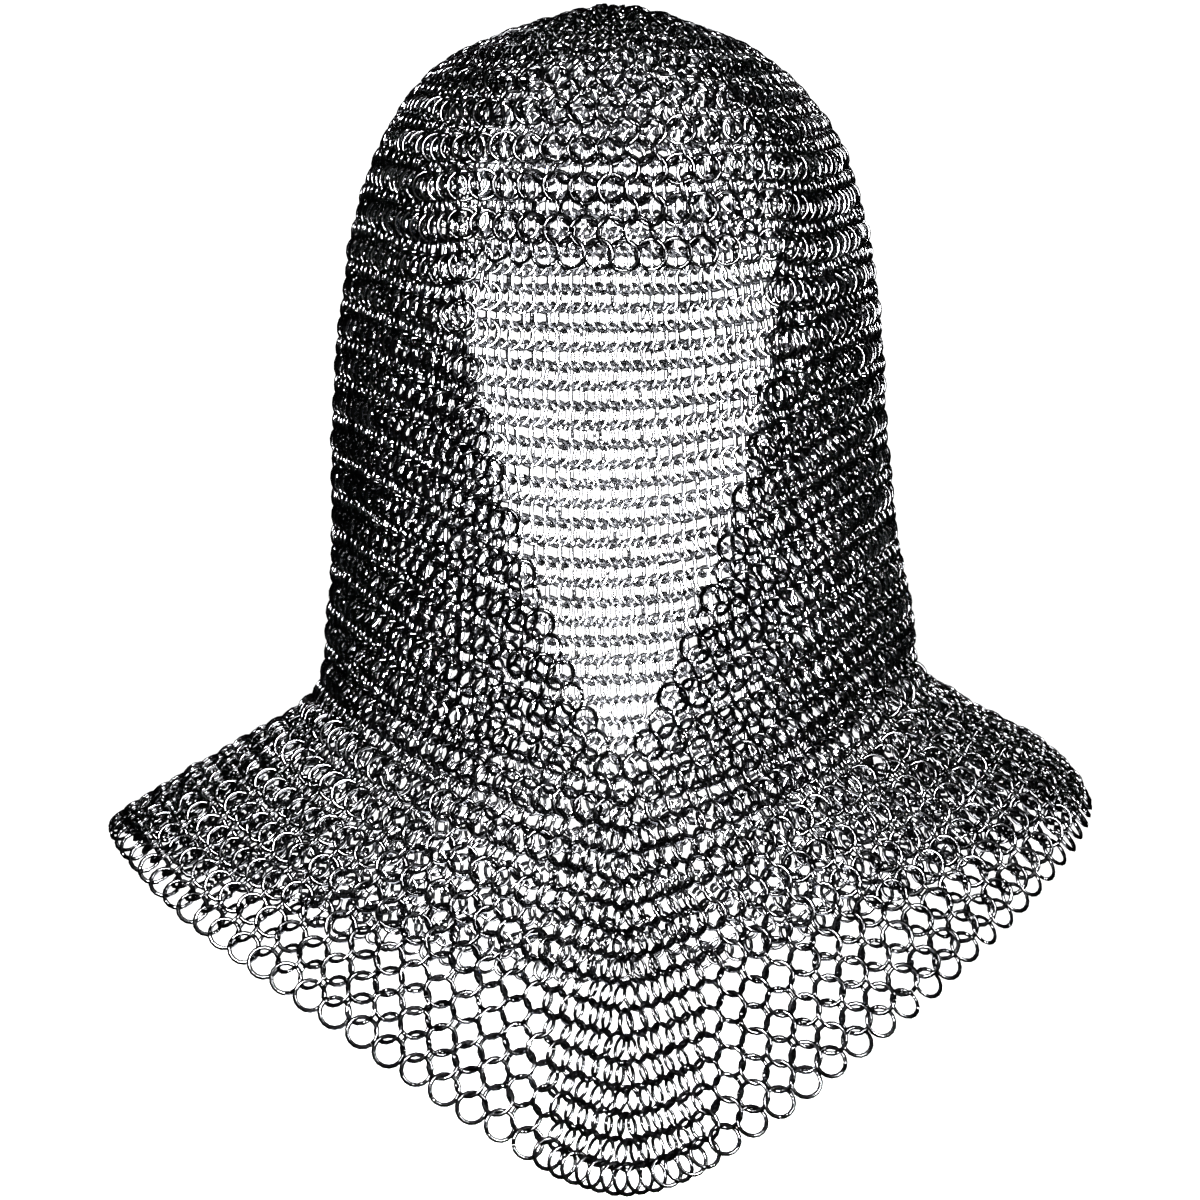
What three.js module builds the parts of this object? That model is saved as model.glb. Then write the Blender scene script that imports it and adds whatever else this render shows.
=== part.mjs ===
import * as THREE from "three";

// A worn mail coif: a hood with a face opening and a mantle that ends in a point on the chest.
// Millimetres, +Z up, the wearer looks along -Y, origin at the inside of the crown's top.
// The mail is counted in courses of rings, from 0 at the crown to the hem.

const WALL = 5.0;            // thickness of the leaning rings, taken as a solid wall
const SEAM = 0.3;            // gap between neighbouring panels
const CROWN_COURSE = 14;     // last course of the crown panel
const BROW_COURSE = 20.6;    // lower edge of the brow
const COLLAR_COURSE = 42;    // course at the lower tip of the face opening
const HEM_COURSE = 57.55;    // lower edge of the mantle
const BROW_ANGLE = 34;       // degrees from the front to the brow's ends
const SIDE_ANGLE = 105;      // degrees from the front to the back edge of the hood sides
const BACK_POINT = 1.2;      // the back sags in a round curve
const SHOULDER_DROP = 0.065; // share of the hem's fall that it makes round the shoulder's end

// Plan half width, plan depths and heights of the mail's middle surface at each course.
// point: 1 is a round sag, near 0 is a sharp chevron at the front.
// sway: how far the sides sit toward the wearer's left. lift: how much the left side rides up.
const SECTION_COLUMNS = [
  "course", "halfWidth", "front", "back", "frontZ", "sideZ", "backZ", "point", "sway", "lift",
];
const SECTIONS = [
  [0, 0.0, 0.0, 0.0, 2.5, 2.5, 2.5, 1.5, 0.0, 0.0],
  [5, 34.0, 40.4, 39.5, -2.2, -4.8, -3.7, 1.5, 0.0, 0.0],
  [10, 66.0, 77.8, 74.6, -18.4, -21.0, -22.0, 1.5, -1.0, 0.0],
  [15, 86.0, 97.2, 99.0, -52.5, -47.0, -52.0, 1.5, 0.0, 0.0],
  [20, 96.5, 99.0, 104.0, -93.0, -80.0, -88.0, 1.5, 0.0, 0.0],
  [26, 103.0, 96.5, 101.0, -156.0, -124.0, -138.0, 1.2, 0.0, 0.0],
  [32, 105.5, 92.0, 93.0, -211.0, -168.0, -187.0, 0.8, 0.0, 0.0],
  [38, 108.5, 87.0, 86.0, -261.5, -212.0, -236.0, 0.5, 3.0, 0.5],
  [42, 115.0, 84.0, 86.0, -294.0, -241.5, -268.0, 0.22, 4.0, 3.5],
  [45, 124.5, 88.0, 89.0, -322.5, -263.0, -293.0, 0.18, 2.5, 5.0],
  [48, 142.0, 95.0, 95.0, -351.0, -277.0, -317.0, 0.16, 1.0, 5.5],
  [51, 161.0, 103.0, 104.0, -379.5, -287.0, -342.0, 0.14, 0.0, 7.0],
  [54, 176.5, 111.0, 113.0, -408.0, -296.5, -366.0, 0.13, -2.0, 7.5],
  [57, 189.5, 118.0, 121.0, -435.0, -307.5, -390.0, 0.13, -3.0, 5.0],
  [58, 193.5, 120.3, 123.7, -444.0, -312.0, -398.0, 0.13, -3.0, 4.0],
].map((sizes) => Object.fromEntries(sizes.map((size, k) => [SECTION_COLUMNS[k], size])));

// Half width of the face opening at each course, measured to the mail's edge.
const FACE_EDGE = [
  { course: 20.6, half: 54.6 },
  { course: 23, half: 55.5 },
  { course: 26, half: 52.5 },
  { course: 29, half: 45.8 },
  { course: 32, half: 37.2 },
  { course: 35, half: 26.8 },
  { course: 38, half: 14.6 },
  { course: 40, half: 5.4 },
  { course: 41.2, half: 0.0 },
  { course: 42, half: 0.0 },
];

// Soft folds: where each runs round the body, its courses, its half width in degrees and its depth.
const FOLDS = [
  { angle: -62, top: 43, bottom: 58, spread: 13, depth: -5.0 },
  { angle: -38, top: 45, bottom: 58, spread: 12, depth: 3.0 },
  { angle: 48, top: 42, bottom: 55, spread: 12, depth: -4.5 },
  { angle: 72, top: 44, bottom: 58, spread: 12, depth: 3.0 },
  { angle: 130, top: 44, bottom: 58, spread: 15, depth: -4.0 },
  { angle: -136, top: 44, bottom: 58, spread: 14, depth: -4.5 },
  { angle: 168, top: 45, bottom: 58, spread: 15, depth: 4.0 },
];

// The crease where the hood's weight settles on the shoulders.
const NECK_CREASE = { course: 43.6, spread: 2.2, depth: -5.0, clearAngle: 22 };

function smooth(t) {
  const c = Math.min(1, Math.max(0, t));
  return c * c * (3 - 2 * c);
}

// Smooth curve through one column of a table, in the table's own course numbers.
function column(table, name, course) {
  let k = 0;
  while (k < table.length - 2 && course > table[k + 1].course) {
    k += 1;
  }
  const slope = (j) => {
    const a = table[Math.max(0, j - 1)];
    const b = table[Math.min(table.length - 1, j + 1)];
    return (b[name] - a[name]) / (b.course - a.course);
  };
  const left = table[k];
  const right = table[k + 1];
  const span = right.course - left.course;
  const t = (course - left.course) / span;
  const t2 = t * t;
  const t3 = t2 * t;
  const start = (2 * t3 - 3 * t2 + 1) * left[name] + (t3 - 2 * t2 + t) * span * slope(k);
  return start + (3 * t2 - 2 * t3) * right[name] + (t3 - t2) * span * slope(k + 1);
}

// Height share of the sagging row: 1 at the front or back middle, 0 at the side.
function sag(across, point, drop) {
  const rounded = (Math.hypot(across, point) - point) / (Math.hypot(1, point) - point);
  return 1 - (1 - drop) * rounded - drop * across ** 12;
}

// Middle surface without folds. angle in degrees from the front, positive to the wearer's left.
function bareForm(angle, course) {
  const a = THREE.MathUtils.degToRad(angle);
  const across = Math.sin(a);
  const ahead = Math.cos(a);
  const size = (name) => column(SECTIONS, name, course);
  const depth = size(ahead >= 0 ? "front" : "back");
  const middleZ = size(ahead >= 0 ? "frontZ" : "backZ");
  const point = ahead >= 0 ? size("point") : BACK_POINT;
  const drop = SHOULDER_DROP * smooth((course - 44) / 8);
  const fall = (middleZ - size("sideZ")) * sag(Math.abs(across), point, drop);
  return new THREE.Vector3(
    size("halfWidth") * across + size("sway") * across * across,
    -depth * ahead,
    size("sideZ") + fall + size("lift") * across * Math.abs(across),
  );
}

function outward(form, angle, course) {
  const da = 0.4;
  const dc = 0.05;
  const c = Math.max(course, 0.2);
  const alongRow = form(angle + da, c).sub(form(angle - da, c));
  const downCourse = form(angle, c + dc).sub(form(angle, c - dc));
  return downCourse.cross(alongRow).normalize();
}

function foldDepth(angle, course) {
  let depth = 0;
  for (const fold of FOLDS) {
    let off = angle - fold.angle;
    off -= 360 * Math.round(off / 360);
    const run = smooth((course - fold.top) / 5) * (1 - 0.5 * smooth((course - fold.bottom + 4) / 4));
    depth += fold.depth * Math.exp(-((off / fold.spread) ** 2)) * run;
  }
  const fromFront = Math.abs(angle - 360 * Math.round(angle / 360));
  const round = smooth((fromFront - NECK_CREASE.clearAngle) / 20);
  const near = Math.exp(-(((course - NECK_CREASE.course) / NECK_CREASE.spread) ** 2));
  return depth + NECK_CREASE.depth * near * round;
}

// Middle surface of the mail with its folds.
function form(angle, course) {
  const place = bareForm(angle, course);
  return place.addScaledVector(outward(bareForm, angle, course), foldDepth(angle, course));
}

function faceAngle(course) {
  const half = column(FACE_EDGE, "half", course) / column(SECTIONS, "halfWidth", course);
  return THREE.MathUtils.radToDeg(Math.asin(Math.min(1, Math.max(0, half))));
}

// Front edge of a hood side: the seam to the brow, then the edge of the face opening.
function sideStart(course) {
  const t = smooth((course - BROW_COURSE + 2) / 2);
  const edge = faceAngle(Math.max(course, BROW_COURSE));
  return course >= BROW_COURSE ? edge : BROW_ANGLE + (edge - BROW_ANGLE) * t;
}

function spaced(from, to, steps) {
  return Array.from({ length: steps + 1 }, (_, k) => from + ((to - from) * k) / steps);
}

// A wall of even thickness over a grid of surface places; each edge on a seam is drawn in.
function wall(name, places, normals, seams, wrap, colour) {
  const rows = places.length;
  const cols = places[0].length;
  const mid = places.map((row) => row.map((p) => p.clone()));
  const draw = (r, c, r2, c2) => {
    const step = places[r2][c2].clone().sub(places[r][c]);
    mid[r][c].addScaledVector(step.normalize(), SEAM / 2);
  };
  for (let c = 0; c < cols; c += 1) {
    if (seams.top) {
      draw(0, c, 1, c);
    }
    if (seams.bottom) {
      draw(rows - 1, c, rows - 2, c);
    }
  }
  for (let r = 0; r < rows; r += 1) {
    if (seams.start) {
      draw(r, 0, r, 1);
    }
    if (seams.end) {
      draw(r, cols - 1, r, cols - 2);
    }
  }
  const points = [];
  for (const side of [0.5, -0.5]) {
    for (let r = 0; r < rows; r += 1) {
      for (let c = 0; c < cols; c += 1) {
        const p = mid[r][c].clone().addScaledVector(normals[r][c], side * WALL);
        points.push(p.x, p.y, p.z);
      }
    }
  }
  const faces = [];
  const at = (side, r, c) => side * rows * cols + r * cols + (c % cols);
  const quad = (a, b, c, d) => {
    faces.push(a, b, c, a, c, d);
  };
  const lastCol = wrap ? cols : cols - 1;
  for (let r = 0; r < rows - 1; r += 1) {
    for (let c = 0; c < lastCol; c += 1) {
      quad(at(0, r, c), at(0, r + 1, c), at(0, r + 1, c + 1), at(0, r, c + 1));
      quad(at(1, r, c), at(1, r, c + 1), at(1, r + 1, c + 1), at(1, r + 1, c));
    }
  }
  for (let c = 0; c < lastCol; c += 1) {
    if (!wrap) {
      quad(at(0, 0, c), at(0, 0, c + 1), at(1, 0, c + 1), at(1, 0, c));
    }
    quad(at(0, rows - 1, c), at(1, rows - 1, c), at(1, rows - 1, c + 1), at(0, rows - 1, c + 1));
  }
  if (wrap) {
    for (const side of [0, 1]) {
      const pole = points.length / 3;
      const top = form(0, 0);
      points.push(top.x, top.y, top.z + (side === 0 ? WALL / 2 : -WALL / 2));
      for (let c = 0; c < cols; c += 1) {
        const a = at(side, 0, c);
        const b = at(side, 0, c + 1);
        faces.push(...(side === 0 ? [pole, a, b] : [pole, b, a]));
      }
    }
  } else {
    for (let r = 0; r < rows - 1; r += 1) {
      quad(at(0, r, 0), at(1, r, 0), at(1, r + 1, 0), at(0, r + 1, 0));
      const e = cols - 1;
      quad(at(0, r, e), at(0, r + 1, e), at(1, r + 1, e), at(1, r, e));
    }
  }
  const geometry = new THREE.BufferGeometry();
  geometry.setAttribute("position", new THREE.Float32BufferAttribute(points, 3));
  geometry.setIndex(faces);
  geometry.computeVertexNormals();
  const material = new THREE.MeshStandardMaterial({ color: colour, metalness: 1, roughness: 0.35 });
  const mesh = new THREE.Mesh(geometry, material);
  mesh.name = name;
  return mesh;
}

function panel(name, courses, anglesAt, seams, colour) {
  const places = courses.map((c) => anglesAt(c).map((a) => form(a, c)));
  const normals = courses.map((c) => anglesAt(c).map((a) => outward(form, a, c)));
  return wall(name, places, normals, seams, false, colour);
}

const FRONT_STEPS = 12;
const FRONT_CROWDING = 1.25; // above 1, the sections stand closer toward the front middle
const BROW_STEPS = 10;
const BACK_STEPS = 9;
const browAngles = spaced(-BROW_ANGLE, BROW_ANGLE, BROW_STEPS);
const leftAngles = (course) => {
  const start = sideStart(course);
  return spaced(0, 1, FRONT_STEPS).map((t) => start + (SIDE_ANGLE - start) * t ** FRONT_CROWDING);
};
const rightAngles = (course) => leftAngles(course).map((a) => -a).reverse();
const napeAngles = spaced(SIDE_ANGLE, 360 - SIDE_ANGLE, 2 * BACK_STEPS);

const browCourses = spaced(CROWN_COURSE, BROW_COURSE, 4);
const cheekCourses = spaced(BROW_COURSE, COLLAR_COURSE, 13).slice(1);
const hoodCourses = [...browCourses, ...cheekCourses];
const mantleCourses = spaced(COLLAR_COURSE, HEM_COURSE, 11);
const crownCourses = spaced(CROWN_COURSE / 7, CROWN_COURSE, 6);

const crownAngles = [
  ...browAngles,
  ...leftAngles(CROWN_COURSE).slice(1),
  ...napeAngles.slice(1),
  ...rightAngles(CROWN_COURSE).map((a) => a + 360).slice(1, -1),
];
const crown = wall(
  "crown",
  crownCourses.map((c) => crownAngles.map((a) => form(a, c))),
  crownCourses.map((c) => crownAngles.map((a) => outward(form, a, c))),
  { bottom: true },
  true,
  0x4b4d50,
);

const browEdge = (course) => {
  const end = sideStart(course);
  return spaced(-end, end, BROW_STEPS);
};

const steel = new THREE.Group();
steel.name = "coif";
steel.add(
  crown,
  panel("brow", browCourses, browEdge, { top: true, start: true, end: true }, 0x47494c),
  panel("side_left", hoodCourses, leftAngles, { top: true, bottom: true, start: true, end: true }, 0x494b4e),
  panel("side_right", hoodCourses, rightAngles, { top: true, bottom: true, start: true, end: true }, 0x494b4e),
  panel("nape", hoodCourses, () => napeAngles, { top: true, bottom: true, start: true, end: true }, 0x444649),
  panel("mantle_front_left", mantleCourses, () => leftAngles(COLLAR_COURSE),
    { top: true, start: true, end: true }, 0x4a4c4f),
  panel("mantle_front_right", mantleCourses, () => rightAngles(COLLAR_COURSE),
    { top: true, start: true, end: true }, 0x4a4c4f),
  panel("mantle_back_left", mantleCourses, () => napeAngles.slice(0, BACK_STEPS + 1),
    { top: true, start: true, end: true }, 0x46484b),
  panel("mantle_back_right", mantleCourses, () => napeAngles.slice(BACK_STEPS),
    { top: true, start: true, end: true }, 0x46484b),
);

export default steel;
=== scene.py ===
# %% [markdown]
# # A worn coif of linked steel rings
# A coif is a hood of ring mail with a mantle over the shoulders. The solid frame gives its walls as
# plain panels. This lesson turns every panel into the real thing: some five thousand wire rings, each
# one laid to pass through its four neighbours. We could scatter rings on the walls by eye, but mail has a
# weave that decides where each ring lies, so we count the rows as a mail maker does and let the rings
# slide on the form until most links are no longer than a ring's hole.

# %% Load the frame
import math

import bmesh
import bpy
import numpy as np
from mathutils import Matrix, Vector


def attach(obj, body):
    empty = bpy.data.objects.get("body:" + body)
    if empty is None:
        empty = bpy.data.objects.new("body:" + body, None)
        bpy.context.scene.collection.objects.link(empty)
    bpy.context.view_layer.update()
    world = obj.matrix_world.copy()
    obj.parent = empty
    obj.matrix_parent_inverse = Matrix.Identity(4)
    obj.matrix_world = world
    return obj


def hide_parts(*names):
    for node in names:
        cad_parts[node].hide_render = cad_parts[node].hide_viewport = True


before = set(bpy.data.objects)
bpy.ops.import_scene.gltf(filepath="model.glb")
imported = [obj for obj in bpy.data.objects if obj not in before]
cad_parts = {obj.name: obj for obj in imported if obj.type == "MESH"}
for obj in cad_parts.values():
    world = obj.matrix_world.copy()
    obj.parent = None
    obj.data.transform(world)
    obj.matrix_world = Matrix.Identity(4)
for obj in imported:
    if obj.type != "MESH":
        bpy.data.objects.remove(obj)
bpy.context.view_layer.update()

MM = 0.001
print("frame nodes:", sorted(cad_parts))

# %% [markdown]
# ## The form that the mail hangs in
# The hood rounds the head, runs down past the face, creases at the neck and spreads into the mantle.
# A sculpted mesh could hold this, but a table of level courses is easier to read and to correct: each
# line gives the half width, the depth to the front and back, and the heights at the front, side and back.
# These are the frame's own sizes, in millimetres, so the rings stay on its walls.

# %% Courses of the form
FORM_NAMES = ("half_width", "front", "back", "front_z", "side_z", "back_z", "point", "sway", "lift")
FORM = {
    0: (0.0, 0.0, 0.0, 2.5, 2.5, 2.5, 1.5, 0.0, 0.0),
    5: (34.0, 40.4, 39.5, -2.2, -4.8, -3.7, 1.5, 0.0, 0.0),
    10: (66.0, 77.8, 74.6, -18.4, -21.0, -22.0, 1.5, -1.0, 0.0),
    15: (86.0, 97.2, 99.0, -52.5, -47.0, -52.0, 1.5, 0.0, 0.0),
    20: (96.5, 99.0, 104.0, -93.0, -80.0, -88.0, 1.5, 0.0, 0.0),
    26: (103.0, 96.5, 101.0, -156.0, -124.0, -138.0, 1.2, 0.0, 0.0),
    32: (105.5, 92.0, 93.0, -211.0, -168.0, -187.0, 0.8, 0.0, 0.0),
    38: (108.5, 87.0, 86.0, -261.5, -212.0, -236.0, 0.5, 3.0, 0.5),
    42: (115.0, 84.0, 86.0, -294.0, -241.5, -268.0, 0.22, 4.0, 3.5),
    45: (124.5, 88.0, 89.0, -322.5, -263.0, -293.0, 0.18, 2.5, 5.0),
    48: (142.0, 95.0, 95.0, -351.0, -277.0, -317.0, 0.16, 1.0, 5.5),
    51: (161.0, 103.0, 104.0, -379.5, -287.0, -342.0, 0.14, 0.0, 7.0),
    54: (176.5, 111.0, 113.0, -408.0, -296.5, -366.0, 0.13, -2.0, 7.5),
    57: (189.5, 118.0, 121.0, -435.0, -307.5, -390.0, 0.13, -3.0, 5.0),
    58: (193.5, 120.3, 123.7, -444.0, -312.0, -398.0, 0.13, -3.0, 4.0),
}
form_course = np.array(list(FORM), float)
form_size = np.array(list(FORM.values()))
print("courses in the table:", len(FORM))


# %% Smooth curves through a table
def ease(t):
    t = np.clip(t, 0, 1)
    return t * t * (3 - 2 * t)


def curve_through(at, sizes, course):
    """Hermite curve through each column of sizes, read at the given courses."""
    before = np.maximum(np.arange(len(at)) - 1, 0)
    after = np.minimum(np.arange(len(at)) + 1, len(at) - 1)
    slope = (sizes[after] - sizes[before]) / (at[after] - at[before])[:, None]
    k = np.clip(np.searchsorted(at, course) - 1, 0, len(at) - 2)
    span = (at[k + 1] - at[k])[:, None]
    t = (course - at[k])[:, None] / span
    start = (2 * t**3 - 3 * t**2 + 1) * sizes[k] + (t**3 - 2 * t**2 + t) * span * slope[k]
    return start + (3 * t**2 - 2 * t**3) * sizes[k + 1] + (t**3 - t**2) * span * slope[k + 1]


print("half width at course 7:", curve_through(form_course, form_size, np.array([7.0]))[0, 0].round(1))

# %% The plain form
SHOULDER_DROP, DROP_FROM, DROP_OVER = 0.065, 44, 8
BACK_POINT = 1.2


def plain_form(angle, course):
    """Places on the form, by degrees from the front (positive to the wearer's left) and course."""
    turn = np.radians(angle)
    across, ahead = np.sin(turn), np.cos(turn)
    size = dict(zip(FORM_NAMES, curve_through(form_course, form_size, course).T))
    facing = ahead >= 0
    depth = np.where(facing, size["front"], size["back"])
    middle_z = np.where(facing, size["front_z"], size["back_z"])
    point = np.where(facing, size["point"], BACK_POINT)
    rounded = (np.sqrt(across**2 + point**2) - point) / (np.sqrt(1 + point**2) - point)
    drop = SHOULDER_DROP * ease((course - DROP_FROM) / DROP_OVER)
    sag = 1 - (1 - drop) * rounded - drop * across**12
    z = size["side_z"] + (middle_z - size["side_z"]) * sag + size["lift"] * across * np.abs(across)
    return np.stack([size["half_width"] * across + size["sway"] * across**2, -depth * ahead, z], axis=1)


def outward(form, angle, course):
    """Unit vectors out of the form."""
    c = np.maximum(course, 0.2)
    along_row = form(angle + 0.4, c) - form(angle - 0.4, c)
    down = form(angle, c + 0.05) - form(angle, c - 0.05)
    normal = np.cross(down, along_row)
    return normal / np.linalg.norm(normal, axis=1, keepdims=True)


print("side of the lowest course:", plain_form(np.array([90.0]), np.array([58.0]))[0].round(1))

# %% [markdown]
# ## Folds
# Heavy mail lies in a few soft folds over the shoulders and creases where the hood's weight settles on
# them. Each fold is one line: where it runs, from which course to which, how wide and how deep.

# %% Folds and the neck crease
FOLDS = [  # degrees from the front, first course, last course, half width in degrees, depth
    (-62, 43, 58, 13, -5.0),
    (-38, 45, 58, 12, 3.0),
    (48, 42, 55, 12, -4.5),
    (72, 44, 58, 12, 3.0),
    (130, 44, 58, 15, -4.0),
    (-136, 44, 58, 14, -4.5),
    (168, 45, 58, 15, 4.0),
]
FOLD_GROWS, FOLD_FADES, FOLD_LOSS = 5, 4, 0.5  # courses, courses, share of the depth
CREASE_COURSE, CREASE_SPREAD, CREASE_DEPTH = 43.6, 2.2, -5.0
CREASE_FROM, CREASE_OVER = 22, 20  # degrees from the front


def fold_depth(angle, course):
    depth = np.zeros_like(course)
    for middle, first, last, spread, deep in FOLDS:
        off = (angle - middle + 180) % 360 - 180
        fade = FOLD_LOSS * ease((course - last + FOLD_FADES) / FOLD_FADES)
        run = ease((course - first) / FOLD_GROWS) * (1 - fade)
        depth += deep * np.exp(-((off / spread) ** 2)) * run
    from_front = np.abs((angle + 180) % 360 - 180)
    near = np.exp(-(((course - CREASE_COURSE) / CREASE_SPREAD) ** 2))
    return depth + CREASE_DEPTH * near * ease((from_front - CREASE_FROM) / CREASE_OVER)


def folded_form(angle, course):
    place = plain_form(angle, course)
    return place + outward(plain_form, angle, course) * fold_depth(angle, course)[:, None]


print("folds:", len(FOLDS), "and a neck crease", -CREASE_DEPTH, "mm deep")

# %% [markdown]
# ## Counting the weave
# In this weave each ring holds two rings of the row above and two of the row below, so every second
# row sits half a column over. The crown grows from one ring in six sectors, a ring more in each sector
# on every row, until it is 108 columns round. From there the columns run straight down. The face opening
# leaves out thirteen columns at the brow, and below the cheeks each row gains half a column on each side
# until the two edges meet. The mantle has to spread, so the edges keep growing below that tip: they share
# one chain of rings down the front, and every row has a ring more than the row above it.

# %% Weave counts
WIRE, HOLE = 1.6, 9.8
RING = (HOLE + WIRE) / 2
RING_GRAMS = 0.565
SECTORS, COLUMNS = 6, 108
CROWN_ROWS, BROW_ROW, TIP_ROW, HEM_ROW = 18, 21, 43, 58
BROW_HALF, BROW_COURSE = 6.5, 20
TAPER_ROW = 31


def course_of(row):
    """The form's course that a row of rings starts from."""
    return row * BROW_COURSE / BROW_ROW if row < BROW_ROW else float(row - BROW_ROW + BROW_COURSE)


def edge_columns(row):
    """The columns of the two rings at the face opening, or none."""
    if row <= BROW_ROW or row >= TIP_ROW:
        return None
    if row >= TAPER_ROW:
        return -(TIP_ROW - row) / 2, (TIP_ROW - row) / 2
    shift = 0.0 if row % 2 == 0 else 0.5
    return -BROW_HALF - shift, BROW_HALF - shift


def half_columns(row):
    """Columns from the front chain to the middle of the back."""
    return COLUMNS / 2 + max(row - TIP_ROW, 0) / 2


print("ring:", round(HOLE + 2 * WIRE, 1), "mm outside; columns at the hem:", int(2 * half_columns(HEM_ROW)))

# %% [markdown]
# ## The face opening
# The opening has a straight brow and two long edges that slant in to a tip on the chest. It could be cut
# out of a finished net, but that leaves half rings. A maker works the edge as a row of whole rings, so we
# give the wall's edge as a curve and lay the edge rings beside it.

# %% Half width of the face opening
EDGE_COURSE = np.array([20.6, 23, 26, 29, 32, 35, 38, 40, 41.2, 42])
EDGE_HALF = np.array([54.6, 55.5, 52.5, 45.8, 37.2, 26.8, 14.6, 5.4, 0.0, 0.0])[:, None]
EDGE_TO_RING = 4.6


def edge_half(course):
    """Half the width between the middles of the two edge rings."""
    inside = np.clip(course, EDGE_COURSE[0], EDGE_COURSE[-1])
    return curve_through(EDGE_COURSE, EDGE_HALF, np.array([inside]))[0, 0] + EDGE_TO_RING


print("between the edge rings at the brow:", round(2 * edge_half(BROW_COURSE), 1), "mm")

# %% [markdown]
# ## How the columns share each row
# The rings don't stand evenly. Over the brow the mail is stretched wide, on the cheeks it closes up,
# at the tip of the face opening it is pulled open again, and below it the columns gather in a narrow
# band down the chest while the mantle fans out. We give each column a share of its row and lay the row
# by arc length, so a wide share opens the mail and a narrow one closes it.

# %% Share of the row for each column
GATHERED = (43, 44, 46, 49, 58), (0.2, 0.9, 2.8, 5.0, 5.5)  # rows, columns
CHEST = (43, 48, 58), (9.6, 10.6, 12.4)  # rows, share of a column in millimetres
SHOULDER = (43, 52, 58), (5.8, 8.8, 9.6)
BROW_SHARE, SIDE_SHARE = 9.3, 6.0
EDGE_SHARE, EDGE_REACH, EDGE_ROWS = 3.7, 5.5, 8
CHAIN_SHARE, GATHER_SHARE = 4.7, 5.4
CHEST_TO, SHOULDER_FROM, FAN_ROWS = 8, 15, 7


def gathered(row):
    """Columns on each side of the front chain that hang close together."""
    return np.interp(row, *GATHERED)


def column_share(column, row):
    if row < TAPER_ROW:
        return np.where(column < BROW_HALF, BROW_SHARE, SIDE_SHARE)
    edge = max((TIP_ROW - row) / 2, 0)
    near_edge = np.exp(-(((column - edge) / EDGE_REACH) ** 2))
    open_by_edge = SIDE_SHARE + EDGE_SHARE * ease((row - TAPER_ROW) / EDGE_ROWS) * near_edge
    if row <= TIP_ROW:
        return open_by_edge
    gather = gathered(row)
    spread = np.interp(row, *CHEST), np.interp(row, *SHOULDER)
    fan = np.interp(column, [gather + CHEST_TO, gather + SHOULDER_FROM], spread)
    fan = open_by_edge + (fan - open_by_edge) * ease((row - TIP_ROW) / FAN_ROWS)
    close = np.interp(column, [0, gather], [CHAIN_SHARE, GATHER_SHARE])
    return close + (fan - close) * ease((column - gather) / 2)


print("gathered on each side at the hem:", gathered(HEM_ROW), "columns")

# %% Lay a row by its shares
SET_COLUMNS = 18  # columns past the gathered ones that keep their own share


def lay_columns(columns, row, side):
    """Degrees from the front for these columns, counted from the front on one side."""
    degrees = np.linspace(0, 180, 361)
    path = plain_form(side * degrees, np.full(len(degrees), course_of(row)))
    arc = np.concatenate([[0], np.cumsum(np.linalg.norm(np.diff(path, axis=0), axis=1))])
    count = np.linspace(0, half_columns(row), 541)
    share = column_share(count, row)
    run = np.concatenate([[0], np.cumsum((share[1:] + share[:-1]) / 2 * np.diff(count))])
    first, start = 0.0, 0.0
    if CROWN_ROWS <= row < TIP_ROW:
        edges = edge_columns(row)
        first = BROW_HALF if edges is None else abs(edges[0] if side < 0 else edges[1])
        start = np.interp(edge_half(course_of(row)), np.maximum.accumulate(np.abs(path[:, 0])), arc)
    elif row > TIP_ROW:
        first = gathered(row) + SET_COLUMNS
        start = np.interp(first, count, run)
    begin = np.interp(first, count, run)
    ahead = start * run / max(begin, 1e-6)
    behind = start + (run - begin) * (arc[-1] - start) / (run[-1] - begin)
    run = np.where(count < first, ahead, behind)
    return side * np.interp(np.interp(columns, count, run), arc, degrees)


print("tenth column of the hem:", lay_columns(10, HEM_ROW, 1).round(1), "degrees from the front")

# %% [markdown]
# ## Every ring, row by row
# Now we list the rings as a maker adds them: the crown in rounds, the hood in rows with the face left out,
# and the mantle in rows that count from the front chain. A ring is known by its row and its place in it,
# so that its neighbours can be looked up by number and nothing has to be searched for in space.

# %% Rounds of the crown
ring_at, rings = {}, []
STRETCH_ROW = 3


def add_ring(row, place, angle):
    ring_at[row, place] = len(rings)
    rings.append((row, place, angle))


def add_crown_row(row):
    place = np.arange(SECTORS * row)
    even = -180 / SECTORS + 360 * (place + 0.5) / len(place)
    even = (even + 180) % 360 - 180
    brow_like = np.where(
        even < 0,
        lay_columns(np.abs(even) * COLUMNS / 360, CROWN_ROWS, -1),
        lay_columns(np.abs(even) * COLUMNS / 360, CROWN_ROWS, 1),
    )
    angle = even + (brow_like - even) * ease((row - STRETCH_ROW) / (CROWN_ROWS - STRETCH_ROW))
    for p, a in zip(place, angle):
        add_ring(row, int(p), a)


add_ring(0, 0, 0.0)
for crown_row in range(1, CROWN_ROWS + 1):
    add_crown_row(crown_row)
print("rings in the rounds:", len(rings))


# %% Rows of the hood
def add_column_row(row):
    half = 0.5 if row % 2 == 0 else 0.0
    column = np.arange(-COLUMNS // 2, COLUMNS // 2) + half
    edges = edge_columns(row)
    if edges:
        column = column[(column <= edges[0]) | (column >= edges[1])]
    left = lay_columns(np.abs(column), row, -1)
    right = lay_columns(np.abs(column), row, 1)
    for c, a in zip(column, np.where(column < 0, left, right)):
        add_ring(row, round(2 * c) % (2 * COLUMNS), a)


for column_row in range(CROWN_ROWS + 1, TIP_ROW):
    add_column_row(column_row)
print("rings down to the tip:", len(rings))


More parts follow.
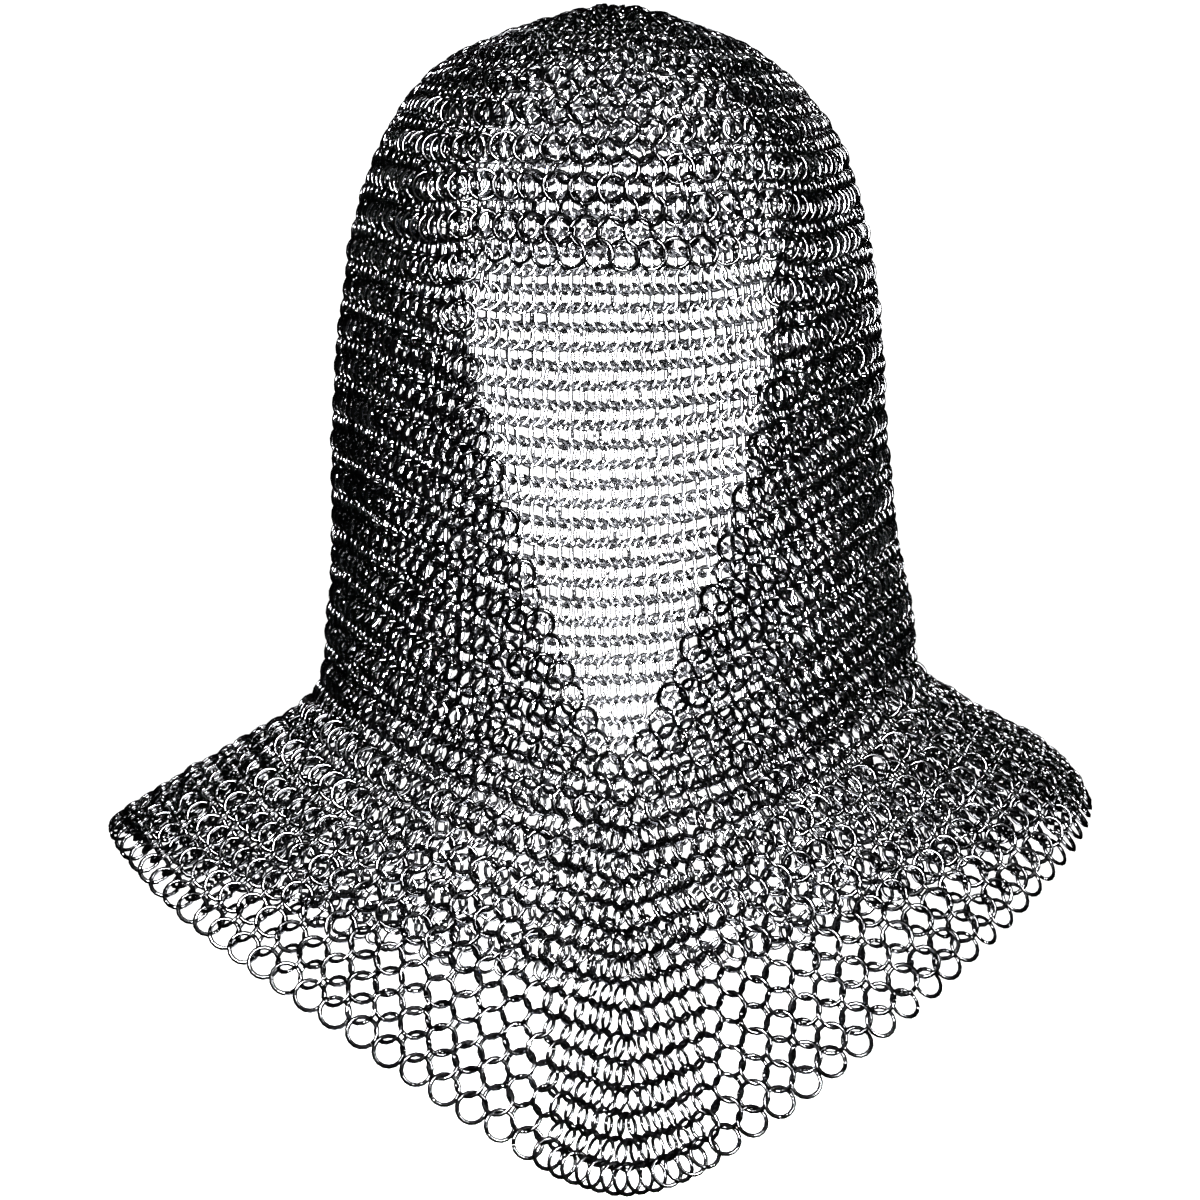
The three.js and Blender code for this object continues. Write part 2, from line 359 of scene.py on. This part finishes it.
# %% Rows of the mantle
def add_mantle_row(row):
    back = half_columns(row)
    index = np.arange(1 - math.ceil(back), math.floor(back) + 1)
    left = lay_columns(np.abs(index), row, -1)
    right = lay_columns(np.abs(index), row, 1)
    for i, a in zip(index, np.where(index < 0, left, right)):
        add_ring(row, int(i), a)


for mantle_row in range(TIP_ROW, HEM_ROW + 1):
    add_mantle_row(mantle_row)
row_of = np.array([r[0] for r in rings])
print("rings:", len(rings), "weighing", round(len(rings) * RING_GRAMS / 1000, 2), "kg")

# %% [markdown]
# ## Which ring passes through which
# A ring links two rings of the next row. In the crown the first and last ring of each sector hang on one
# ring only, on the front chain a ring links three, and in the middle of the back the two counts meet. We
# note these links, and also which rings lie side by side and which hang below each other in a column.

# %% The rings of the next row
def at_back(row, place):
    """The one name of a mantle ring in the middle of the back, which both sides reach."""
    return abs(place) if abs(place) >= half_columns(row) else place


def side_of(place):
    return (place > 0) - (place < 0)


def rings_below(row, place):
    """Places in the next row that this ring passes through."""
    if row == 0:
        return range(SECTORS)
    if row < CROWN_ROWS:
        sector, step = divmod(place, row)
        return sector * (row + 1) + step, sector * (row + 1) + step + 1
    if row == CROWN_ROWS:
        place = 2 * (place - COLUMNS // (2 * SECTORS)) + 1
    if row < TIP_ROW - 1:
        return (place - 1) % (2 * COLUMNS), (place + 1) % (2 * COLUMNS)
    if row == TIP_ROW - 1:
        column = (place + COLUMNS) % (2 * COLUMNS) - COLUMNS
        return at_back(TIP_ROW, (column - 1) // 2), at_back(TIP_ROW, (column + 1) // 2)
    if place == 0:
        return -1, 0, 1
    if place == half_columns(row):
        return place, -place
    return place, at_back(row + 1, place + side_of(place))


print("below the first ring of the front chain:", rings_below(TIP_ROW, 0))


# %% The rings beside and in the same column
def ring_two_below(row, place):
    """The place of the next ring down the same column."""
    if row < TIP_ROW - 2:
        return place
    if row < TIP_ROW:
        column = (place + COLUMNS) % (2 * COLUMNS) - COLUMNS
        return at_back(row + 2, (column + side_of(column) * (row + 2 - TIP_ROW)) // 2)
    return place + side_of(place)


def ring_beside(row, place):
    if row <= CROWN_ROWS:
        return (place + 1) % max(SECTORS * row, 1)
    if row < TIP_ROW:
        return (place + 2) % (2 * COLUMNS)
    return place + 1 if place < math.floor(half_columns(row)) else 1 - math.ceil(half_columns(row))


print("beside the last ring of the hem:", ring_beside(HEM_ROW, math.floor(half_columns(HEM_ROW))))


# %% All the links
def pairs_of(neighbours):
    found = []
    for (row, place), k in ring_at.items():
        found += [(k, ring_at[n]) for n in neighbours(row, place) if n in ring_at]
    return np.array(found)


links = pairs_of(lambda row, place: [(row + 1, p) for p in rings_below(row, place)])
beside = pairs_of(lambda row, place: [(row, ring_beside(row, place))] if row else [])
below = pairs_of(lambda row, place: [(row + 2, ring_two_below(row, place))] if row > CROWN_ROWS else [])
print("links:", len(links), "side by side:", len(beside), "in a column:", len(below))

# %% [markdown]
# ## Letting the mail settle
# A link can't be longer than the ring's hole, and rings can't sit closer than their wire. Blender's
# cloth tool doesn't know rings, so we settle the net ourselves: each round measures every link, pulls
# the long ones in and pushes the short ones apart, and slides the rings along the form. The edges of
# the face opening and the hem keep their places, because they set the outline. About one link in
# twelve, most of them round the neck and beside the opening, stays longer than a hole, which is the
# price of holding those edges and of the spread over the shoulders. In about one link in eighteen the two
# rings miss each other.

# %% Rings that keep their places
angle = np.array([r[2] for r in rings])
course = np.array([course_of(r[0]) for r in rings])
held = (row_of == 0) | (row_of == HEM_ROW)
for (row, place), k in ring_at.items():
    column = (place + COLUMNS) % (2 * COLUMNS) - COLUMNS
    edges = edge_columns(row)
    if edges:
        held[k] |= column / 2 in edges
    if row == BROW_ROW:
        held[k] |= abs(column / 2) < BROW_HALF
print("rings held:", held.sum())

# %% Pull, push and slide
FIRST_COURSE, LAST_COURSE = 0.05, 57.3
LENGTHS = ((links, 8.2, 9.6), (beside, 3.6, 13.2), (below, 13.0, 19.2))  # shortest and longest
PULL, EVEN_OUT = 0.17, 0.06
LONGEST_STEP = np.array([2, 0.25])  # degrees and courses in one round


def tally(pair, values):
    """Sum of values at both ends of each pair, with the far end's turned round."""
    total = np.zeros((len(rings), values.shape[1]))
    np.add.at(total, pair[:, 0], values)
    np.add.at(total, pair[:, 1], -values)
    return total


def slide(push, angle, course):
    """The change of angle and course that a push makes along the form."""
    by_angle = plain_form(angle + 0.5, course) - plain_form(angle - 0.5, course)
    by_course = plain_form(angle, course + 0.1) - plain_form(angle, np.maximum(course - 0.1, 0))
    by_course /= 0.2
    aa, ac = (by_angle * by_angle).sum(1), (by_angle * by_course).sum(1)
    cc = (by_course * by_course).sum(1)
    pa, pc = (push * by_angle).sum(1), (push * by_course).sum(1)
    area = np.maximum(aa * cc - ac * ac, 1e-3)
    return np.stack([(cc * pa - ac * pc) / area, (aa * pc - ac * pa) / area], axis=1)


def settle(angle, course, rounds):
    first = np.stack([angle, course], axis=1)
    moved = np.zeros_like(first)
    count = np.bincount(links.ravel(), minlength=len(rings))[:, None]
    for _ in range(rounds):
        angle, course = (first + moved).T
        course = np.clip(course, FIRST_COURSE, LAST_COURSE)
        place = plain_form(angle, course)
        push = np.zeros_like(place)
        for pair, low, high in LENGTHS:
            gap = place[pair[:, 1]] - place[pair[:, 0]]
            length = np.linalg.norm(gap, axis=1, keepdims=True)
            push += tally(pair, PULL * (length - np.clip(length, low, high)) / length * gap)
        moved += np.clip(slide(push, angle, course), -LONGEST_STEP, LONGEST_STEP)
        moved -= EVEN_OUT * tally(links, moved[links[:, 0]] - moved[links[:, 1]]) / count
        moved[held] = 0
    angle, course = (first + moved).T
    return angle, np.clip(course, FIRST_COURSE, LAST_COURSE)


print("pairs that pull or push:", sum(len(pair) for pair, _, _ in LENGTHS))

# %% Let the mail settle
ROUNDS = 220
angle, course = settle(angle, course, ROUNDS)
place = folded_form(angle, course)
hem = row_of == HEM_ROW
print("hem columns on the front quarters:", (hem & (np.abs(angle) < 90)).sum() / 2)
link_length = np.linalg.norm(place[links[:, 0]] - place[links[:, 1]], axis=1)
print("link length, mm:", np.percentile(link_length, [1, 10, 50, 90, 99]).round(1))
print("links longer than a hole:", (link_length > HOLE).sum(), "longest, mm:", link_length.max().round(1))

# %% [markdown]
# ## One butted ring
# Each ring is a turn of round wire, cut and bent until its ends meet. A torus would hide that joint, so
# we spin a small section almost all the way round and close the two ends. There are thousands of
# rings, so the wire has four smooth-shaded sides only.

# %% Spin one ring
RING_STEPS, WIRE_SIDES = 16, 4
WIRE_CORNER = 0.56  # of the wire, a little over half, because a square section looks thin
JOINT_GAP = math.radians(1.5)


def butted_ring():
    bm = bmesh.new()
    bmesh.ops.create_circle(bm, segments=WIRE_SIDES, radius=WIRE * WIRE_CORNER)
    bmesh.ops.rotate(bm, verts=bm.verts, matrix=Matrix.Rotation(math.pi / 2, 3, "X"))
    bmesh.ops.translate(bm, verts=bm.verts, vec=(RING, 0, 0))
    start = list(bm.edges)
    turned = bmesh.ops.spin(
        bm, geom=start, cent=(0, 0, 0), axis=(0, 0, 1), angle=2 * math.pi - JOINT_GAP, steps=RING_STEPS
    )
    end = [e for e in turned["geom_last"] if isinstance(e, bmesh.types.BMEdge)]
    bmesh.ops.edgeloop_fill(bm, edges=start)
    bmesh.ops.edgeloop_fill(bm, edges=end)
    bmesh.ops.recalc_face_normals(bm, faces=bm.faces)
    bm.verts.index_update()
    corners = np.array([v.co[:] for v in bm.verts])
    faces = np.array([[v.index for v in f.verts] for f in bm.faces])
    bm.free()
    return corners, faces


ring_corners, ring_faces = butted_ring()
print("one ring:", len(ring_corners), "corners,", len(ring_faces), "faces")

# %% [markdown]
# ## How each ring leans
# Rings of one row all lean the same way about the line of the columns, and the next row leans the other
# way. Where the mail is stretched they lie almost flat, and where it closes up they stand on edge. That
# lean is what makes the mail look banded at the sides of the hood, so it follows from the space that
# each ring has in its row.

# %% The space that each ring has
left_of, right_of = np.arange(len(rings)), np.arange(len(rings))
right_of[beside[:, 0]] = beside[:, 1]
left_of[beside[:, 1]] = beside[:, 0]
normal = outward(folded_form, angle, course)
along_row = place[right_of] - place[left_of]
along_row[0] = (1, 0, 0)
steps = (right_of != np.arange(len(rings))).astype(int) + (left_of != np.arange(len(rings)))
pitch = np.linalg.norm(along_row, axis=1) / np.maximum(steps, 1)
along_row -= (along_row * normal).sum(1, keepdims=True) * normal
along_row /= np.linalg.norm(along_row, axis=1, keepdims=True)
print("pitch in the rows, mm:", np.percentile(pitch, [1, 50, 99]).round(1))

# %% Stand every ring
LEAN = (3.5, 4.5, 6, 8, 10, 12), (56, 50, 42, 33, 27, 22)  # pitch in millimetres, degrees
EDGE_LEAN = 0.6
LEAN_SPREAD, AXLE_SPREAD, PLACE_SPREAD = 0.05, 0.045, 0.18
rng = np.random.default_rng(7)
lean = np.radians(np.interp(pitch, *LEAN))
free_edge = (row_of == HEM_ROW) | ((row_of == BROW_ROW) & held)
lean = np.where(free_edge, EDGE_LEAN * lean, lean) * np.where(row_of % 2 == 0, 1, -1)
lean += rng.normal(0, LEAN_SPREAD, len(rings))


def unit(v):
    return v / np.linalg.norm(v, axis=1, keepdims=True)


axle = normal * np.cos(lean)[:, None] + along_row * np.sin(lean)[:, None]
axle = unit(axle + rng.normal(0, AXLE_SPREAD, axle.shape))
across = unit(along_row - (along_row * axle).sum(1, keepdims=True) * axle)
down = np.cross(axle, across)
spin = rng.uniform(0, 2 * math.pi, len(rings))[:, None]
across, down = np.cos(spin) * across + np.sin(spin) * down, np.cos(spin) * down - np.sin(spin) * across
centre = place + rng.normal(0, PLACE_SPREAD, place.shape)
print("lean, degrees:", np.percentile(np.degrees(np.abs(lean)), [1, 50, 99]).round(0))

# %% [markdown]
# ## Steel wire
# The rings are plain drawn steel, dark with oil, with a tight bright highlight along the wire and a tone
# that differs a little from ring to ring. Bare metal turns white where we look along it. A film of oil
# dulls that, so the shader's edge tint is dark. Painting thousands of rings by hand is out of the
# question: the tone is a value that each ring carries, and a fine noise breaks up the gloss.

# %% Steel material
DARK_STEEL, PALE_STEEL = (0.006, 0.0061, 0.0065, 1), (0.09, 0.091, 0.095, 1)
EDGE_TINT = (0.15, 0.15, 0.15, 1)
GRAIN_SCALE, GRAIN_SHARE = 900, 0.35
GLOSSY, DULLED = 0.1, 0.2


def ring_steel():
    material = bpy.data.materials.new("ring_steel")
    material.use_nodes = True
    nodes, wires = material.node_tree.nodes, material.node_tree.links
    shader = nodes["Principled BSDF"]
    shader.inputs["Metallic"].default_value = 1.0
    shader.inputs["Specular Tint"].default_value = EDGE_TINT
    tone = nodes.new("ShaderNodeAttribute")
    tone.attribute_name = "ring_tone"
    where = nodes.new("ShaderNodeTexCoord")
    grain = nodes.new("ShaderNodeTexNoise")
    grain.inputs["Scale"].default_value = GRAIN_SCALE
    grain.inputs["Detail"].default_value = 3
    wires.new(where.outputs["Object"], grain.inputs["Vector"])
    colour = nodes.new("ShaderNodeValToRGB")
    colour.color_ramp.elements[0].color = DARK_STEEL
    colour.color_ramp.elements[1].color = PALE_STEEL
    mixed = nodes.new("ShaderNodeMath")
    mixed.operation = "MULTIPLY_ADD"
    mixed.inputs[1].default_value = GRAIN_SHARE
    wires.new(grain.outputs["Fac"], mixed.inputs[0])
    wires.new(tone.outputs["Fac"], mixed.inputs[2])
    wires.new(mixed.outputs["Value"], colour.inputs["Fac"])
    wires.new(colour.outputs["Color"], shader.inputs["Base Color"])
    gloss = nodes.new("ShaderNodeMapRange")
    gloss.inputs["To Min"].default_value = GLOSSY
    gloss.inputs["To Max"].default_value = DULLED
    wires.new(grain.outputs["Fac"], gloss.inputs["Value"])
    wires.new(gloss.outputs["Result"], shader.inputs["Roughness"])
    bump = nodes.new("ShaderNodeBump")
    bump.inputs["Strength"].default_value = 0.12
    bump.inputs["Distance"].default_value = 0.0002
    wires.new(grain.outputs["Fac"], bump.inputs["Height"])
    wires.new(bump.outputs["Normal"], shader.inputs["Normal"])
    return material


steel = ring_steel()
print("material:", steel.name)

# %% [markdown]
# ## Panels
# A maker weaves the coif in panels and joins them ring to ring. Each panel here is one object that
# stands for its wall in the frame. The thousands of rings in it are copies of the one ring, turned and
# placed all at once as arrays, which is quicker than adding them one by one.

# %% Which panel each ring belongs to
BACK_FROM, BROW_TO = 105, 34  # degrees from the front
CROWN_LAST = 14
front = np.abs(angle) <= BACK_FROM
left = angle >= 0
crown_rings = row_of <= CROWN_LAST
brow_rings = ~crown_rings & (row_of <= BROW_ROW) & (np.abs(angle) < BROW_TO)
hood_rings = ~crown_rings & ~brow_rings & (row_of < TIP_ROW)
mantle_rings = row_of >= TIP_ROW
PANELS = {
    "crown": crown_rings,
    "brow": brow_rings,
    "side_left": hood_rings & front & left,
    "side_right": hood_rings & front & ~left,
    "nape": hood_rings & ~front,
    "mantle_front_left": mantle_rings & front & left,
    "mantle_front_right": mantle_rings & front & ~left,
    "mantle_back_left": mantle_rings & ~front & left,
    "mantle_back_right": mantle_rings & ~front & ~left,
}
print("rings without a panel:", len(rings) - sum(chosen.sum() for chosen in PANELS.values()))

# %% Weave the panels
TONE, TONE_SPREAD, TONE_TOP = 0.32, 0.16, 0.65
tone_of = np.clip(rng.normal(TONE, TONE_SPREAD, len(rings)), 0, TONE_TOP)


def weave_panel(node, chosen):
    k = np.flatnonzero(chosen)
    x, y, z = (ring_corners[None, :, i, None] for i in range(3))
    corners = centre[k][:, None] + x * across[k][:, None] + y * down[k][:, None] + z * axle[k][:, None]
    first = (np.arange(len(k)) * len(ring_corners))[:, None, None]
    faces = (ring_faces[None] + first).reshape(-1, ring_faces.shape[1])
    mesh = bpy.data.meshes.new(f"{node}_rings")
    mesh.from_pydata((corners.reshape(-1, 3) * MM).tolist(), [], faces.tolist())
    mesh.shade_smooth()
    tone = mesh.attributes.new("ring_tone", "FLOAT", "POINT")
    tone.data.foreach_set("value", np.repeat(tone_of[k], len(ring_corners)))
    mesh.materials.append(steel)
    piece = bpy.data.objects.new(f"{node}_rings", mesh)
    bpy.context.scene.collection.objects.link(piece)
    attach(piece, "root")
    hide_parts(node)
    return piece


panels = [weave_panel(node, chosen) for node, chosen in PANELS.items()]
print("panels:", len(panels), "with", sum(len(panel.data.polygons) for panel in panels), "faces")

# %% [markdown]
# ## Floor
# A plain white floor carries the eye off into the background. Bare wire mirrors whatever stands round
# it, and in a white room it would turn pale and the weave would drown. A grey floor would spoil the
# background, so the floor stays white to the eye and is hidden from reflections.

# %% White floor
FLOOR_Z, FLOOR_HALF = -0.62, 8
PAPER_WHITE = (0.88, 0.88, 0.88, 1)


def white_floor():
    bm = bmesh.new()
    bmesh.ops.create_grid(bm, x_segments=1, y_segments=1, size=FLOOR_HALF)
    bmesh.ops.translate(bm, verts=bm.verts, vec=(0, 0, FLOOR_Z))
    mesh = bpy.data.meshes.new("white_floor")
    bm.to_mesh(mesh)
    bm.free()
    floor = bpy.data.objects.new("white_floor", mesh)
    bpy.context.scene.collection.objects.link(floor)
    paper = bpy.data.materials.new("white_paper")
    paper.use_nodes = True
    shader = paper.node_tree.nodes["Principled BSDF"]
    shader.inputs["Base Color"].default_value = PAPER_WHITE
    shader.inputs["Roughness"].default_value = 0.9
    mesh.materials.append(paper)
    floor.visible_glossy = False
    return floor


floor = white_floor()
print("floor:", floor.name, "at", FLOOR_Z, "m")

# %% [markdown]
# ## Soft lights
# A few soft boxes draw one clear highlight along each wire: a key and a fill in front, a weak one above
# and two behind, so that every side has its own. One large light would be simpler, but it would grey
# the whole wire. Each box has a narrow beam, which keeps it on the coif.

# %% Soft lights
def soft_light(name, place_at, look_at, size, power, beam):
    lamp = bpy.data.lights.new(name, "AREA")
    lamp.shape = "RECTANGLE"
    lamp.size, lamp.size_y = size
    lamp.spread = math.radians(beam)
    lamp.energy = power
    thing = bpy.data.objects.new(name, lamp)
    thing.location = place_at
    thing.rotation_euler = (Vector(look_at) - Vector(place_at)).to_track_quat("-Z", "Y").to_euler()
    bpy.context.scene.collection.objects.link(thing)
    return thing


middle = (0, 0, -0.2)
soft_light("key", (-0.55, -1.85, 0.55), middle, (0.55, 0.55), 38, 50)
soft_light("fill", (1.3, -1.5, 0.1), middle, (0.4, 0.7), 18, 50)
soft_light("top", (0, 0.1, 1.4), middle, (0.4, 0.4), 2, 60)
soft_light("back_left", (1.0, 1.8, 0.6), middle, (0.5, 0.6), 18, 50)
soft_light("back_right", (-1.0, 1.8, 0.6), middle, (0.5, 0.6), 18, 50)
print("soft lights:", len(bpy.data.lights))

# %% [markdown]
# ## Lamps in the hood
# The hood is hollow, and its far side shows through the face opening. Left dark, that side can't be told
# from the front. A tall lamp inside, which the camera doesn't see, faces the back of the hood and lights
# it, so that the opening reads as open. A weak one below the mantle lifts the inside of the cape.

# %% Lamps in the hood
for lamp in (
    soft_light("hood_back", (0, -0.03, -0.18), (0, 1, -0.18), (0.13, 0.3), 90, 130),
    soft_light("hood_under", (0, 0.02, -0.5), (0, 0.02, 0), (0.25, 0.15), 4, 120),
):
    lamp.visible_camera = False
    print("lamp:", lamp.name, lamp.data.energy, "W")

# %% [markdown]
# ## White sky
# The sky fills in the shadows and makes the background white. Like the floor, it is hidden from
# reflections. The plain view transform keeps white white.

# %% White sky
world = bpy.data.worlds.new("studio")
world.use_nodes = True
world.node_tree.nodes["Background"].inputs["Color"].default_value = (1, 1, 1, 1)
world.node_tree.nodes["Background"].inputs["Strength"].default_value = 1.3
bpy.context.scene.world = world
world.cycles_visibility.glossy = False
bpy.context.scene.view_settings.view_transform = "Standard"
print("sky:", world.name)

# %% [markdown]
# ## Camera
# The camera stands 1.7 m away, almost level with the coif and a little to the wearer's right. A long lens
# from that far shows both shoulders and the point of the mantle without the stretch of a close view.

# %% Camera
AZIMUTH, ELEVATION, DISTANCE = math.radians(-3.0), math.radians(3.0), 1.7
SENSOR, HALF_VIEW = 36, 600 / 2530  # millimetres; metres to each side at the aim
aim = Vector((-0.004, 0.0, -0.2263))
away = Vector((
    math.sin(AZIMUTH) * math.cos(ELEVATION),
    -math.cos(AZIMUTH) * math.cos(ELEVATION),
    math.sin(ELEVATION),
))
lens = bpy.data.cameras.new("camera")
lens.sensor_width = SENSOR
lens.lens = SENSOR / 2 / (HALF_VIEW / DISTANCE)
camera = bpy.data.objects.new("camera", lens)
camera.location = aim + away * DISTANCE
camera.rotation_euler = (-away).to_track_quat("-Z", "Y").to_euler()
bpy.context.scene.collection.objects.link(camera)
bpy.context.scene.camera = camera
print("lens:", round(lens.lens, 1), "mm")
